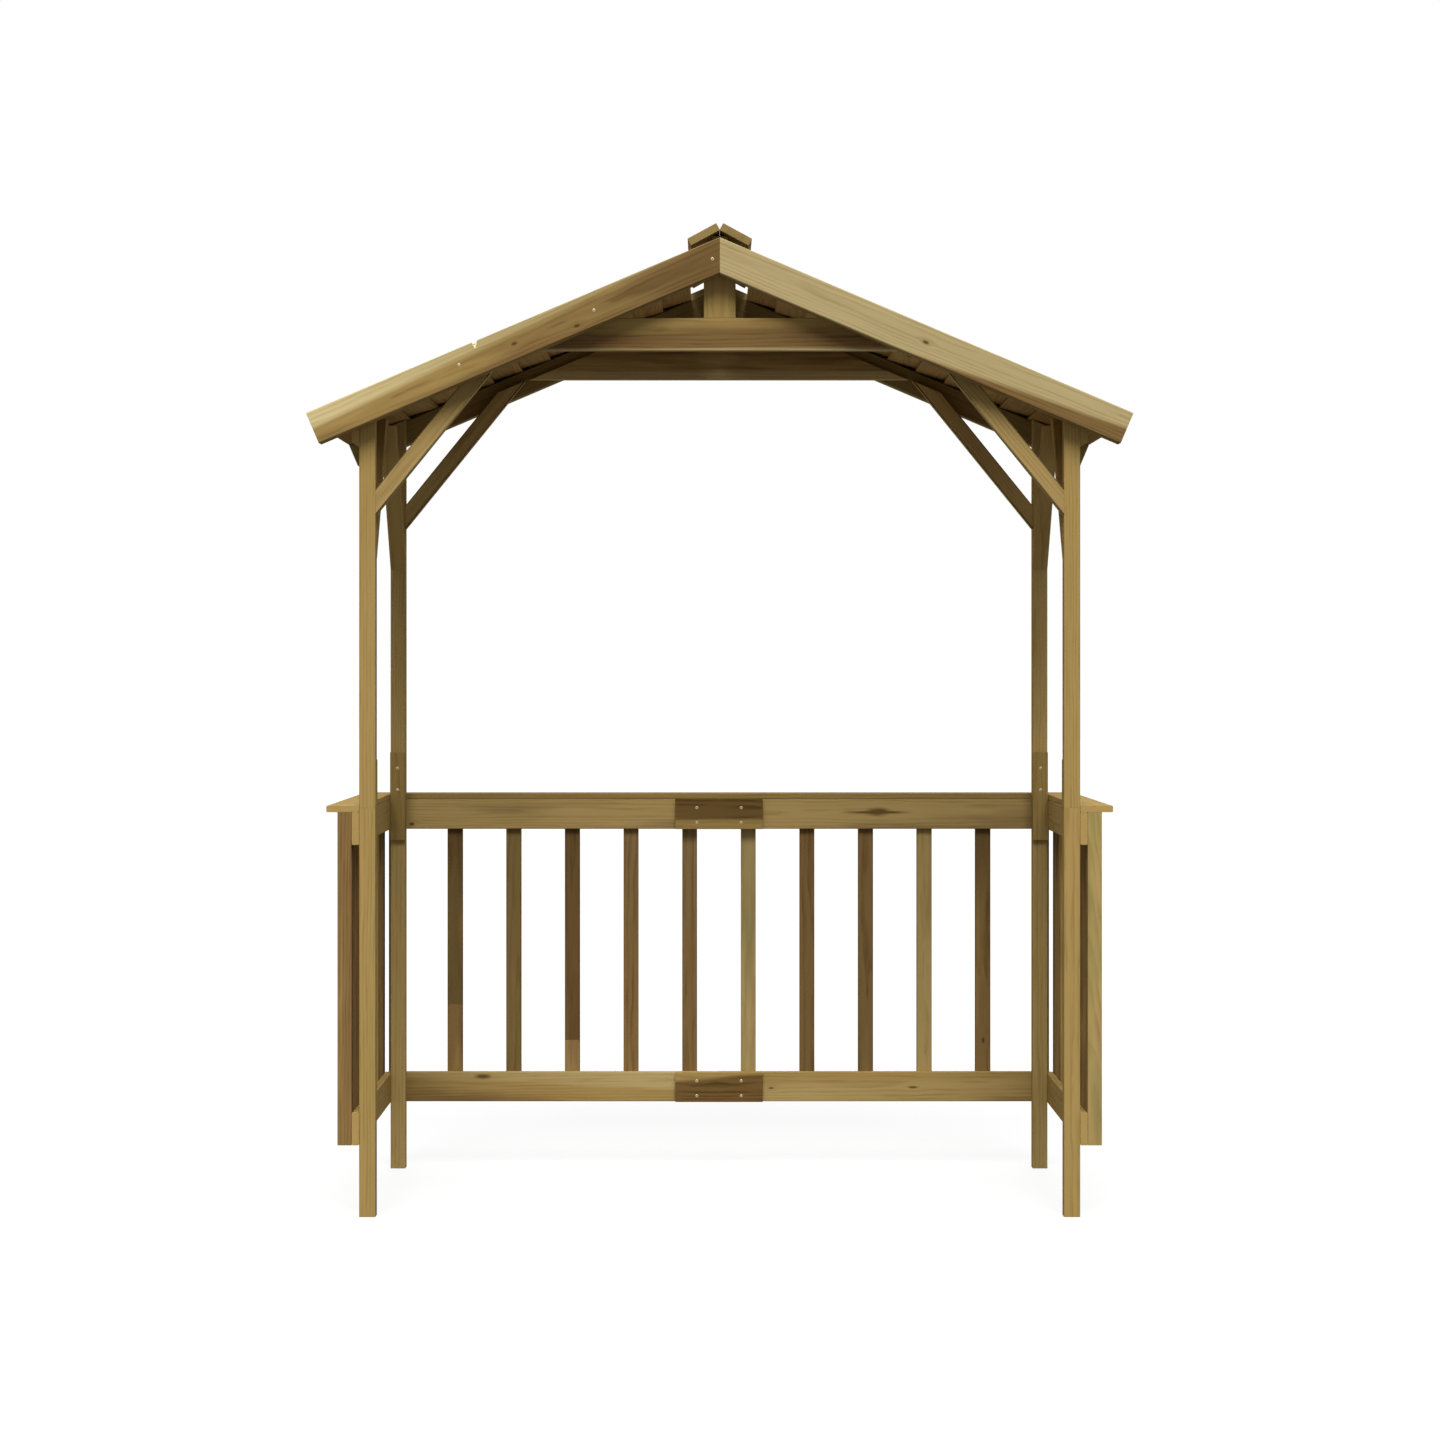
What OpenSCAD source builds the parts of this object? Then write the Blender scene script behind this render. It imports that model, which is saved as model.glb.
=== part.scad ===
// Open garden gazebo: four posts, a rail panel on each side and two at the back,
// a narrow shelf on the panels and a small gable roof of lapped boards.
// X runs along the front, Y from front to back, Z up from the level floor.

/* [Frame] */
// Width over the outer faces of the posts
frame_w = 1760; // [1500:10:2200]
// Depth over the outer faces of the posts
frame_d = 890; // [700:10:1200]
// Side of the square timber of posts, braces and the ridge beam
post_size = 40; // [36:1:50]
// Height of the joint between the two lengths of a post over the panels
joint_rise = 10; // [-20:1:40]
// Length of the plates that splice posts and rear rails
splice_len = 235; // [180:1:300]
// Thickness of the splice plates
splice_t = 16; // [12:1:24]
// Radius of the eased long edges on the frame timber
arris_r = 3; // [1:0.5:5]
// Radius of the eased long edges on plates and thin boards
thin_arris_r = 2; // [1:0.5:3]

/* [Panels] */
// Depth of a rail
rail_h = 80; // [60:1:100]
// Thickness of a rail
rail_t = 18; // [14:1:24]
// Height of the panels' lower edge
panel_z = 175; // [100:5:250]
// Height of a panel from lower to upper edge
panel_h = 813; // [720:1:850]
// Number of balusters in each panel
balusters = 6; // [4:1:8]
// Width of a baluster, along the panel
baluster_w = 40; // [30:1:50]
// Thickness of a baluster, across the panel
baluster_t = 35; // [25:1:45]
// How far the rear panels pass the posts at the corners
rear_lap = 10; // [0:1:16]

/* [Shelf] */
// Width of the shelf boards
shelf_w = 80; // [70:1:140]
// Thickness of the shelf boards
shelf_t = 16; // [12:1:24]

/* [Roof frame] */
// Slope of the roof in degrees
roof_pitch = 23; // [19:0.5:27]
// Height of the barge boards' top edge at the ridge
ridge_z = 2384; // [2330:1:2480]
// Reach of the roof past the posts, to the barge boards' top corner
eave_overhang = 123; // [90:1:240]
// Depth of a barge board, square to the slope
barge_h = 80; // [70:1:120]
// Thickness of a barge board
barge_t = 20; // [14:1:26]
// Depth of a rafter, square to the slope
rafter_h = 60; // [50:1:64]
// Thickness of a rafter
rafter_t = 40; // [30:1:50]
// Height of the ridge over the ties' lower edge
gable_h = 270; // [245:1:305]
// Depth of a tie
tie_h = 80; // [60:1:100]
// Thickness of ties and king posts
tie_t = 20; // [16:1:26]
// Width of a king post
king_w = 78; // [60:1:100]
// Depth of an eaves beam, on the outer faces of the posts
beam_h = 80; // [60:1:100]
// Thickness of an eaves beam
beam_t = 18; // [14:1:24]

/* [Braces] */
// Height of the ties' lower edge over the feet of the front and rear braces
brace_drop = 401; // [335:1:465]
// Reach of the side braces along the beams
side_brace_reach = 307; // [250:1:340]
// Slope of the side braces in degrees
side_brace_pitch = 50; // [45:1:55]

/* [Roof boards] */
// Number of boards on each slope
roof_boards = 12; // [10:1:13]
// Width of a roof board
roof_board_w = 97; // [94:1:110]
// Thickness of a roof board
roof_board_t = 9; // [7:0.5:9.5]
// Half the open strip between the top boards under the ridge
ridge_gap = 74; // [60:1:90]
// Width of a ridge cap board
cap_w = 80; // [70:1:110]
// Thickness of a ridge cap board
cap_t = 19; // [14:1:24]
// Slope of the ridge caps in degrees
cap_pitch = 28.5; // [26:0.5:32]

/* [Hidden] */
// Clearance between roof boards that lap and between the two caps
lap_gap = 0.3;
// Space between the roof boards and the eaves beams' outer top edge
beam_gap = 12;
// Space between the end of a tie and the brace beside it
brace_gap = 11;
// How far ties and braces reach up behind the rafters from their lower edge
seat_h = 30;
// Share of a gap that each rear panel leaves between its last baluster and the middle
half_gap_share = 1 / 2;
// How far a timber runs on before its end is cut, and how far a cut reaches past it
overrun = 200;
// Sides of a full circle in previews
$fn = 32;

timber = "#a1874f";
pale_timber = "#b09c64";
shaded_timber = "#7a6440";
plate_timber = "#5c4125";

half_w = frame_w / 2;
inner_x = half_w - post_size;
rail_x = half_w + rail_t;
shelf_z = panel_z + panel_h;
post_joint_z = shelf_z + joint_rise;
rear_half = half_w + rear_lap;
roof_half_w = half_w + eave_overhang;

// Distances below the barge boards' top edge, square to the slope
cover = barge_h - rafter_h;
seat_drop = barge_h - seat_h;

// Height at x of a line parallel to the roof, a drop below its top edge
function roof_z(x, drop) = ridge_z - drop / cos(roof_pitch) - x * tan(roof_pitch);

// Place along the roof's line at a height
function roof_x(z, drop) = (ridge_z - drop / cos(roof_pitch) - z) / tan(roof_pitch);

// Point on the square end of the rafters, a drop below the top corner
function eave(drop) = [
    roof_half_w - drop * sin(roof_pitch),
    roof_z(roof_half_w, 0) - drop * cos(roof_pitch)
];

ridge_seat_z = roof_z(post_size / 2, cover);
cap_seat_z = ridge_seat_z + post_size;
beam_x = half_w + beam_t;
beam_top_z = roof_z(beam_x, cover) - beam_gap;
beam_z = beam_top_z - beam_h;

tie_z = ridge_z - gable_h;
tie_end_x = roof_x(tie_z, seat_drop);
brace_z = tie_z - brace_drop;
brace_top = [tie_end_x + brace_gap, roof_z(tie_end_x + brace_gap, seat_drop)];
brace_pitch = atan2(brace_top[1] - brace_z, inner_x - brace_top[0]);
side_brace_z = beam_top_z - side_brace_reach * tan(side_brace_pitch);

slope_len = (eave(cover)[0] - ridge_gap) / cos(roof_pitch);
board_step = (slope_len - roof_board_w) / (roof_boards - 1);
lap_tilt = asin((roof_board_t + lap_gap) / board_step);

// The roof's front and back, and the middle of the whole depth
roof_front_y = -rafter_t - barge_t;
back_y = frame_d + max(shelf_w, rafter_t + barge_t);
middle_y = (roof_front_y + back_y) / 2;

// A box between two corners
module block(low, high) {
    translate(low)
        cube(high - low);
}

// Section of a planed timber from the origin, with eased corners
module planed(w, t, r) {
    for (x = [r, w - r], y = [r, t - r])
        translate([x, y])
            circle(r);
    translate([r, 0])
        square([w - 2 * r, t]);
    translate([0, r])
        square([w, t - 2 * r]);
}

// An outline in X and Z, carried along Y from y0 to y1
module along_y(y0, y1) {
    translate([0, y1, 0])
        rotate([90, 0, 0])
            linear_extrude(height = y1 - y0)
                children();
}

// A planed timber along X between two corners
module timber_x(low, high, r) {
    size = high - low;
    translate(low)
        rotate([90, 0, 90])
            linear_extrude(height = size[0])
                planed(size[1], size[2], r);
}

// A planed timber along Y between two corners
module timber_y(low, high, r) {
    size = high - low;
    along_y(low[1], high[1])
        translate([low[0], low[2]])
            planed(size[0], size[2], r);
}

// An upright planed timber between two corners
module timber_z(low, high, r) {
    size = high - low;
    translate(low)
        linear_extrude(height = size[2])
            planed(size[0], size[1], r);
}

// A planed timber down the slope to its square end at the eaves, between two
// distances below the barge boards' top edge, running on past the ridge
module sloped_timber(y0, y1, drop_top, drop_low, r) {
    run = roof_half_w / cos(roof_pitch) + overrun;
    translate([eave(drop_low)[0], 0, eave(drop_low)[1]])
        rotate([0, roof_pitch, 0])
            timber_x([-run, y0, 0], [0, y1, drop_low - drop_top], r);
}

// All that lies above both lines parallel to the roof, a drop below its top edge
module above_slopes(drop) {
    far_x = roof_half_w + overrun;
    top_z = ridge_z + overrun;
    along_y(-overrun, frame_d + overrun)
        polygon([
            [-far_x, roof_z(far_x, drop)],
            [0, roof_z(0, drop)],
            [far_x, roof_z(far_x, drop)],
            [far_x, top_z],
            [-far_x, top_z]
        ]);
}

// All that lies left of the middle, as far as a sloped timber runs on
module past_ridge() {
    block(
        [-2 * overrun, -overrun, roof_z(overrun, barge_h + overrun)],
        [0, overrun, ridge_z + overrun]
    );
}

// The left copy of a piece made on the right
module on_left() {
    mirror([1, 0, 0])
        children();
}

// The rear copy of a piece made at the front
module at_rear() {
    translate([0, frame_d, 0])
        mirror([0, 1, 0])
            children();
}

// A piece and its copy on the left
module both_sides() {
    children();
    on_left()
        children();
}

// The whole object stands over the middle of its own depth
module in_frame() {
    translate([0, -middle_y, 0])
        children();
}

module lower_post() {
    color(timber)
        timber_z([inner_x, 0, 0], [half_w, post_size, post_joint_z], arris_r);
}

module upper_post() {
    color(timber)
        difference() {
            timber_z(
                [inner_x, 0, post_joint_z],
                [half_w, post_size, roof_z(inner_x, cover) + overrun],
                arris_r
            );
            above_slopes(cover);
        }
}

module post_splice() {
    color(plate_timber)
        timber_z(
            [inner_x, post_size, post_joint_z - splice_len / 2],
            [half_w, post_size + splice_t, post_joint_z + splice_len / 2],
            thin_arris_r
        );
}

module side_rail(z) {
    color(shaded_timber)
        timber_y([half_w, 0, z], [rail_x, frame_d, z + rail_h], arris_r);
}

module rear_rail(z) {
    color(shaded_timber)
        timber_x([0, frame_d, z], [rear_half, frame_d + rail_t, z + rail_h], arris_r);
}

// Starts of the balusters from a panel's outer end, with some share of a gap left
// over at the other end
function baluster_starts(length, gap_share) =
    let (gap = (length - balusters * baluster_w) / (balusters - 1 + gap_share))
    [for (i = [0 : balusters - 1]) i * (gap + baluster_w)];

module side_balusters() {
    color(timber)
        for (y = baluster_starts(frame_d, 0))
            timber_z(
                [rail_x, y, panel_z],
                [rail_x + baluster_t, y + baluster_w, shelf_z],
                arris_r
            );
}

module rear_balusters() {
    back = frame_d + rail_t;
    color(timber)
        for (d = baluster_starts(rear_half, half_gap_share))
            timber_z(
                [rear_half - d - baluster_w, back, panel_z],
                [rear_half - d, back + baluster_t, shelf_z],
                arris_r
            );
}

module rear_rail_splices() {
    color(plate_timber)
        for (z = [panel_z, shelf_z - rail_h])
            timber_x(
                [-splice_len / 2, frame_d - splice_t, z],
                [splice_len / 2, frame_d, z + rail_h],
                thin_arris_r
            );
}

module side_shelf() {
    color(timber)
        timber_y(
            [half_w, 0, shelf_z],
            [half_w + shelf_w, frame_d, shelf_z + shelf_t],
            arris_r
        );
}

module rear_shelf() {
    color(timber)
        timber_x(
            [0, frame_d, shelf_z],
            [half_w + shelf_w, frame_d + shelf_w, shelf_z + shelf_t],
            arris_r
        );
}

// Rafter on the outer face of the posts, cut plumb at the ridge
module rafter() {
    color(shaded_timber)
        difference() {
            sloped_timber(-rafter_t, 0, cover, barge_h, arris_r);
            past_ridge();
        }
}

// Barge board outside the rafter, standing above it to cover the board ends
module barge() {
    color(pale_timber)
        difference() {
            sloped_timber(roof_front_y, -rafter_t, 0, barge_h, arris_r);
            past_ridge();
        }
}

module tie() {
    far_x = tie_end_x + overrun;
    color(timber)
        difference() {
            timber_x([-far_x, 0, tie_z], [far_x, tie_t, tie_z + tie_h], arris_r);
            above_slopes(seat_drop);
        }
}

module king_post() {
    color(timber)
        difference() {
            timber_z(
                [-king_w / 2, 0, tie_z + tie_h],
                [king_w / 2, tie_t, ridge_seat_z],
                arris_r
            );
            above_slopes(cover);
        }
}

// Brace from a post up to the rafter, beside the end of the tie
module brace() {
    run = (inner_x - brace_top[0]) / cos(brace_pitch) + overrun;
    color(timber)
        difference() {
            translate([inner_x, 0, brace_z])
                rotate([0, brace_pitch, 0])
                    timber_x([-run, 0, 0], [overrun, post_size, post_size], arris_r);
            block(
                [inner_x, -overrun, brace_z - overrun],
                [inner_x + overrun, overrun, brace_z + overrun]
            );
            above_slopes(seat_drop);
        }
}

// Brace from a post up along the inner face of the eaves beam
module side_brace() {
    run = side_brace_reach / cos(side_brace_pitch) + overrun;
    color(timber)
        difference() {
            translate([0, post_size, side_brace_z])
                rotate([side_brace_pitch, 0, 0])
                    timber_y([inner_x, -overrun, 0], [half_w, run, post_size], arris_r);
            block(
                [inner_x - overrun, post_size - 2 * overrun, side_brace_z - overrun],
                [half_w + overrun, post_size, side_brace_z + overrun]
            );
            block(
                [inner_x - overrun, 0, beam_top_z],
                [half_w + overrun, frame_d, beam_top_z + 2 * overrun]
            );
        }
}

module side_brace_pair() {
    side_brace();
    at_rear()
        side_brace();
}

module side_beam() {
    color(shaded_timber)
        timber_y([half_w, 0, beam_z], [beam_x, frame_d, beam_top_z], arris_r);
}

// Beam on the king posts, between the two gables
module ridge_beam() {
    color(shaded_timber)
        timber_y(
            [-post_size / 2, 0, ridge_seat_z],
            [post_size / 2, frame_d, cap_seat_z],
            arris_r
        );
}

// Cap board lying on the eased top corner of the ridge beam, its own eased lower
// corner close to the other cap
module ridge_cap() {
    corner = [post_size / 2 - arris_r, cap_seat_z - arris_r];
    eased = thin_arris_r * (cos(cap_pitch) + sin(cap_pitch) - 1);
    start_x = lap_gap / 2 - eased;
    rise = (arris_r + lap_gap) / cos(cap_pitch) + (corner[0] - start_x) * tan(cap_pitch);
    start_z = corner[1] + rise;
    color(pale_timber)
        along_y(-rafter_t, frame_d + rafter_t)
            translate([start_x, start_z])
                rotate(-cap_pitch)
                    planed(cap_w, cap_t, thin_arris_r);
}

// Lapped boards: the lowest lies flat, each next one leans on the one below
module slope_boards() {
    color(shaded_timber)
        along_y(-rafter_t, frame_d + rafter_t)
            translate(eave(cover))
                mirror([1, 0])
                    rotate(roof_pitch)
                        for (i = [0 : roof_boards - 1])
                            translate([roof_board_w + i * board_step, 0])
                                rotate(i == 0 ? 0 : -lap_tilt)
                                    translate([-roof_board_w, 0])
                                        planed(roof_board_w, roof_board_t, thin_arris_r);
}

in_frame() on_left() lower_post();  // front_left_lower_post
in_frame() on_left() upper_post();  // front_left_upper_post
in_frame() lower_post();  // front_right_lower_post
in_frame() upper_post();  // front_right_upper_post
in_frame() at_rear() on_left() lower_post();  // rear_left_lower_post
in_frame() at_rear() on_left() upper_post();  // rear_left_upper_post
in_frame() at_rear() lower_post();  // rear_right_lower_post
in_frame() at_rear() upper_post();  // rear_right_upper_post
in_frame() both_sides() post_splice();  // front_post_splices
in_frame() at_rear() both_sides() post_splice();  // rear_post_splices

in_frame() on_left() side_rail(shelf_z - rail_h);  // left_top_rail
in_frame() on_left() side_rail(panel_z);  // left_bottom_rail
in_frame() on_left() side_balusters();  // left_balusters
in_frame() side_rail(shelf_z - rail_h);  // right_top_rail
in_frame() side_rail(panel_z);  // right_bottom_rail
in_frame() side_balusters();  // right_balusters
in_frame() on_left() rear_rail(shelf_z - rail_h);  // rear_left_top_rail
in_frame() on_left() rear_rail(panel_z);  // rear_left_bottom_rail
in_frame() on_left() rear_balusters();  // rear_left_balusters
in_frame() rear_rail(shelf_z - rail_h);  // rear_right_top_rail
in_frame() rear_rail(panel_z);  // rear_right_bottom_rail
in_frame() rear_balusters();  // rear_right_balusters
in_frame() rear_rail_splices();

in_frame() on_left() side_shelf();  // left_shelf
in_frame() side_shelf();  // right_shelf
in_frame() on_left() rear_shelf();  // rear_left_shelf
in_frame() rear_shelf();  // rear_right_shelf

in_frame() on_left() rafter();  // front_left_rafter
in_frame() rafter();  // front_right_rafter
in_frame() at_rear() on_left() rafter();  // rear_left_rafter
in_frame() at_rear() rafter();  // rear_right_rafter
in_frame() on_left() barge();  // front_left_barge
in_frame() barge();  // front_right_barge
in_frame() at_rear() on_left() barge();  // rear_left_barge
in_frame() at_rear() barge();  // rear_right_barge
in_frame() tie();  // front_tie
in_frame() at_rear() tie();  // rear_tie
in_frame() king_post();  // front_king_post
in_frame() at_rear() king_post();  // rear_king_post

in_frame() both_sides() brace();  // front_braces
in_frame() at_rear() both_sides() brace();  // rear_braces
in_frame() on_left() side_brace_pair();  // left_braces
in_frame() side_brace_pair();  // right_braces
in_frame() on_left() side_beam();  // left_beam
in_frame() side_beam();  // right_beam
in_frame() ridge_beam();
in_frame() on_left() ridge_cap();  // left_ridge_cap
in_frame() ridge_cap();  // right_ridge_cap
in_frame() on_left() slope_boards();  // left_roof_boards
in_frame() slope_boards();  // right_roof_boards
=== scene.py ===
"""Garden gazebo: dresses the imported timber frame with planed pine, roof boards, joint plates and screws.

Every length is in metres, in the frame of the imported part, unless its name ends in mm.
"""
import math
import random

import bmesh
import bpy
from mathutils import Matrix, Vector


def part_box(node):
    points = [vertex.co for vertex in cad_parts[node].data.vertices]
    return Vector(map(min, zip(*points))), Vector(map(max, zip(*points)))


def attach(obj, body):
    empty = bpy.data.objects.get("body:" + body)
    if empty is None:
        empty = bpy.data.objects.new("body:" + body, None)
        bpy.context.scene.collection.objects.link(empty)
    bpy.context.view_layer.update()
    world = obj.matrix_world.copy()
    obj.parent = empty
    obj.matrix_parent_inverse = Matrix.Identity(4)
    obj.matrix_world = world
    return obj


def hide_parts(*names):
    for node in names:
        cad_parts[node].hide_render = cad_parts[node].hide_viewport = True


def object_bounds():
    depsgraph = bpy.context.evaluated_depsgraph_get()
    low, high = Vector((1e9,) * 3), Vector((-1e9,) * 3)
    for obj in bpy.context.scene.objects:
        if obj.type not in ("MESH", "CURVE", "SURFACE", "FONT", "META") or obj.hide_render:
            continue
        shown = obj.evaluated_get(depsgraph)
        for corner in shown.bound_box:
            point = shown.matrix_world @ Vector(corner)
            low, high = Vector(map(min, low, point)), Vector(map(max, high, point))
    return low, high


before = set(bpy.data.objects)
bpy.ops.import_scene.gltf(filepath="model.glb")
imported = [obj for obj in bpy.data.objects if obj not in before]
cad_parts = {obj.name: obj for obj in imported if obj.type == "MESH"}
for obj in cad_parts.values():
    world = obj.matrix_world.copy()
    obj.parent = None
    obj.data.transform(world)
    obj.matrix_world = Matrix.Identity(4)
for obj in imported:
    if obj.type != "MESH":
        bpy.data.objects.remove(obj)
CAD_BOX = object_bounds()

bl_info = {
    "name": "Garden gazebo",
    "version": (1, 0, 0),
    "blender": (4, 5, 0),
    "location": "View3D > Sidebar > Gazebo",
    "description": "Builds the timber, boards, plates and screws of an open garden gazebo",
    "category": "Object",
}

MM = 0.001
BODY = "root"
SIDES = ("left", "right")
ENDS = ("front", "rear")
PANELS = ("left", "right", "rear_left", "rear_right")


def linear(code):
    """An sRGB hex colour as linear red, green, blue and alpha."""
    parts = [int(code[i:i + 2], 16) / 255 for i in (1, 3, 5)]
    return (*(c / 12.92 if c <= 0.04045 else ((c + 0.055) / 1.055) ** 2.4 for c in parts), 1.0)


def length(name, description, default):
    """A length that a user can change."""
    return bpy.props.FloatProperty(
        name=name, description=description, default=default, min=0.0, unit="LENGTH", precision=4)


def colour(name, description, code):
    """A colour that a user can change."""
    return bpy.props.FloatVectorProperty(
        name=name, description=description, default=linear(code), size=4, min=0.0, max=1.0,
        subtype="COLOR")


class GazeboTimber(bpy.types.PropertyGroup):
    """Sizes of the timber's surface and of the fixings."""

    saw_edge: length("Sawn edge", "Small break on the edges of the sawn ends", 0.6 * MM)
    ring_width: length("Ring width", "Width of one year's growth, drawn coarse so that it shows", 8.0 * MM)
    fibre_width: length("Fibre width", "Width of a fibre streak, drawn coarse so that it shows", 2.6 * MM)
    head_radius: length("Screw head radius", "Radius of a screw head", 4.2 * MM)
    head_rise: length("Screw head rise", "How far a screw head stands proud of the timber", 1.1 * MM)


class GazeboColours(bpy.types.PropertyGroup):
    """Colours of the finishes."""

    pine: colour("Pine", "Early wood of the impregnated pine", "#AC8F56")
    pine_ring: colour("Pine ring", "Late wood of the impregnated pine", "#9A7C45")
    heart: colour("Heartwood", "Early wood of the brown heart", "#83663E")
    heart_ring: colour("Heartwood ring", "Late wood of the brown heart", "#6B4F2D")
    sap: colour("Sapwood", "Early wood of the pale sapwood", "#D3C08C")
    sap_ring: colour("Sapwood ring", "Late wood of the pale sapwood", "#C0AB77")
    plate: colour("Plate", "Early wood of the dark joint plates", "#765A32")
    plate_ring: colour("Plate ring", "Late wood of the dark joint plates", "#573E1C")
    salt: colour("Salt tint", "Green left by the impregnation salts", "#7C7A48")
    knot: colour("Knot", "Core of a knot", "#4A3219")
    fresh: colour("Fresh break", "Clean wood in a chip that broke out after the bath", "#E2D4AB")
    roof: colour("Roof board", "Early wood of the roof boards", "#B28B50")
    roof_ring: colour("Roof board ring", "Late wood of the roof boards", "#977241")
    zinc: colour("Screw head", "Zinc plate with a warm chromate film", "#C8B698")
    zinc_dull: colour("Dull screw head", "Zinc plate where it has dulled", "#A8997E")
    floor: colour("Floor", "What the eye sees of the studio floor", "#FFFFFF")
    floor_shadow: colour("Floor shadow", "How far the floor shows shadows", "#707070")
    floor_bounce: colour("Floor bounce", "Grey that the floor sends back to the timber", "#797979")


class GazeboStage(bpy.types.PropertyGroup):
    """Camera and lights."""

    camera_place: bpy.props.FloatVectorProperty(
        name="Camera place", description="Where the camera stands, level and square to the front",
        default=(-0.0188, -9.134, 1.330), size=3, subtype="TRANSLATION", unit="LENGTH")
    lens_mm: bpy.props.FloatProperty(
        name="Lens", description="Focal length in millimetres on a 36 mm sensor",
        default=88.925, min=10.0)
    shift: bpy.props.FloatVectorProperty(
        name="Shift", description="Sideways and upward shift of the view, as shares of its width",
        default=(0.00556, -0.0333), size=2)
    sky: bpy.props.FloatProperty(
        name="Sky", description="Strength of the even light from all round", default=0.38, min=0.0)
    key: bpy.props.FloatProperty(
        name="Key", description="Strength of the soft light from above the front", default=3.1, min=0.0)
    key_height: bpy.props.FloatProperty(
        name="Key height", description="Height of the soft light above the horizon",
        default=math.radians(50), subtype="ANGLE")
    key_spread: bpy.props.FloatProperty(
        name="Key spread", description="Width of the soft light as the object sees it",
        default=math.radians(36), subtype="ANGLE")
    floor_glow: bpy.props.FloatProperty(
        name="Floor glow", description="White that the eye sees in the floor's shadows",
        default=0.84, min=0.0)
    fill: bpy.props.FloatProperty(
        name="Fill", description="Strength of the weaker light from above the back", default=1.1, min=0.0)
    fill_height: bpy.props.FloatProperty(
        name="Fill height", description="Height of the weaker light above the horizon",
        default=math.radians(35), subtype="ANGLE")


# Mesh making

# Points closer than this are one point
WELD = 0.01 * MM
# Faces that meet at less than FLAT are one face, and edges sharper than SHARP are broken
FLAT = math.radians(0.5)
SHARP = math.radians(40)
# Share of a normal along the board from which a face is a sawn end
END_SHARE = 0.35
# Share of a normal across or through the board from which a face is a flat side, not an eased edge
SIDE_SHARE = 0.95
# A chip takes the eased edge with it, and goes less deep at the board's back
EASED_DEPTH = 6 * MM
CHIP_BACK_SHARE = 0.4
# Half the distance between the two lines round a joint
JOINT_HALF = 0.5 * MM
# Decimals to which places, lengths and areas count, so that rounding doesn't choose between equals
PLACE_DECIMALS = 3
LENGTH_DECIMALS = 5
AREA_DECIMALS = 6


def signed(axis):
    """The axis turned so that its longest part points up the scale."""
    longest = max(axis, key=abs)
    return axis if longest > 0 else -axis


def solids_of(node):
    """The solids of a CAD node, each in its own bmesh with whole faces, ordered along X, Y and Z."""
    whole = bmesh.new()
    whole.from_mesh(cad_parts[node].data)
    bmesh.ops.remove_doubles(whole, verts=whole.verts, dist=WELD)
    bmesh.ops.dissolve_limit(whole, angle_limit=FLAT, verts=whole.verts, edges=whole.edges)
    loose = set(whole.verts)
    solids = []
    while loose:
        reached = {next(iter(loose))}
        edge = set(reached)
        while edge:
            edge = {o for v in edge for e in v.link_edges for o in e.verts} - reached
            reached |= edge
        loose -= reached
        solid = bmesh.new()
        made = {v: solid.verts.new(v.co) for v in sorted(reached, key=lambda v: v.index)}
        faces = {f for v in reached for f in v.link_faces}
        for face in sorted(faces, key=lambda f: f.index):
            solid.faces.new([made[v] for v in face.verts])
        solid.normal_update()
        solids.append(solid)
    whole.free()
    return sorted(solids, key=lambda s: [round(c, PLACE_DECIMALS) for c in middle(s)])


def middle(solid):
    """The middle of a solid's box."""
    corners = list(zip(*(v.co for v in solid.verts)))
    return Vector([(min(c) + max(c)) / 2 for c in corners])


def board_axes(solid):
    """Unit axes of a board: along its length, across its width and through its thickness."""
    longest = max(solid.edges, key=lambda e: round(e.calc_length(), LENGTH_DECIMALS))
    along = signed((longest.verts[1].co - longest.verts[0].co).normalized())
    faces = [f for f in solid.faces if abs(f.normal.dot(along)) < END_SHARE]
    widest = max(faces, key=lambda f: (
        round(f.calc_area(), AREA_DECIMALS), [round(abs(c), PLACE_DECIMALS) for c in f.normal]))
    across = signed(widest.normal.cross(along).normalized())
    return along, across, along.cross(across)


def chip(solid, axes, place, marks):
    """Breaks a chip out of a board's upper front edge, and returns where it starts and ends.

    Marks are places along the edge and depths below it.
    """
    along, across, _ = axes
    places = [(Vector(place) + along * step, depth) for step, depth in marks]
    back = middle(solid).y
    for point, _ in places:
        geometry = [*solid.verts, *solid.edges, *solid.faces]
        bmesh.ops.bisect_plane(solid, geom=geometry, plane_co=point, plane_no=along)
    top = max(v.co.dot(across) for v in solid.verts)
    for point, depth in places:
        for v in solid.verts:
            if abs((v.co - point).dot(along)) < WELD and top - v.co.dot(across) < EASED_DEPTH:
                v.co -= across * depth * (CHIP_BACK_SHARE if v.co.y > back else 1)
    solid.normal_update()
    reach = [point.dot(along) for point, _ in places]
    return min(reach) - WELD, max(reach) + WELD


def cut_round(solid, axes, centre, place):
    """Cuts a close pair of lines round a board, so that its looks can change there at once."""
    for step in (place - JOINT_HALF, place + JOINT_HALF):
        geometry = [*solid.verts, *solid.edges, *solid.faces]
        bmesh.ops.bisect_plane(solid, geom=geometry, plane_co=centre + axes[0] * step, plane_no=axes[0])


def break_ends(solid, saw_edge):
    """Breaks the sharp edges round the sawn ends slightly."""
    sharp = [e for e in solid.edges if len(e.link_faces) == 2 and e.calc_face_angle() > SHARP]
    bmesh.ops.bevel(
        solid, geom=sharp, offset=saw_edge, offset_type="OFFSET", segments=1, profile=0.5,
        affect="EDGES", clamp_overlap=True)
    bmesh.ops.dissolve_degenerate(solid, dist=WELD, edges=solid.edges)
    solid.normal_update()


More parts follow.
